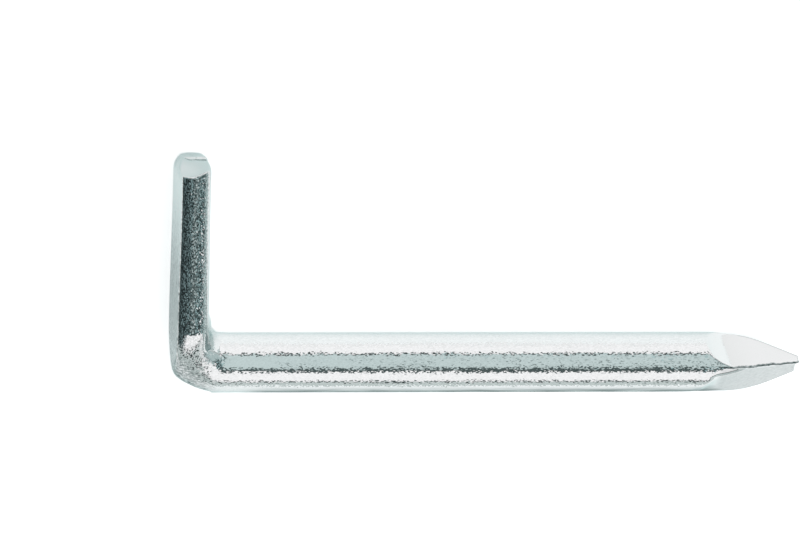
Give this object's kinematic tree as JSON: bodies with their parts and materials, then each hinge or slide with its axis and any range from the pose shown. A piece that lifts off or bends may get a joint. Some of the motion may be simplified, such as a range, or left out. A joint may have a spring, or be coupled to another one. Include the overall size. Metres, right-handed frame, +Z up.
{
  "type": "hook nail",
  "caption": "L-shaped flat hook nail: round wire shank with a pinched four-sided point, bent square into a pressed flat hook plate for hanging or holding things on a wall.",
  "frame": {"origin": "middle of the nail's bounding box, on the surface that it lies on", "axes": "+X along the shank towards the point, +Y towards the hook plate's free end, +Z up from the surface that it lies on"},
  "size_m": [0.04, 0.015, 0.0058],
  "materials": {
    "zinc_plated_steel": "bright zinc plating with a fine speckle over drawn wire"
  },
  "bodies": {
    "root": {"nail": "zinc_plated_steel"}
  },
  "joints": []
}
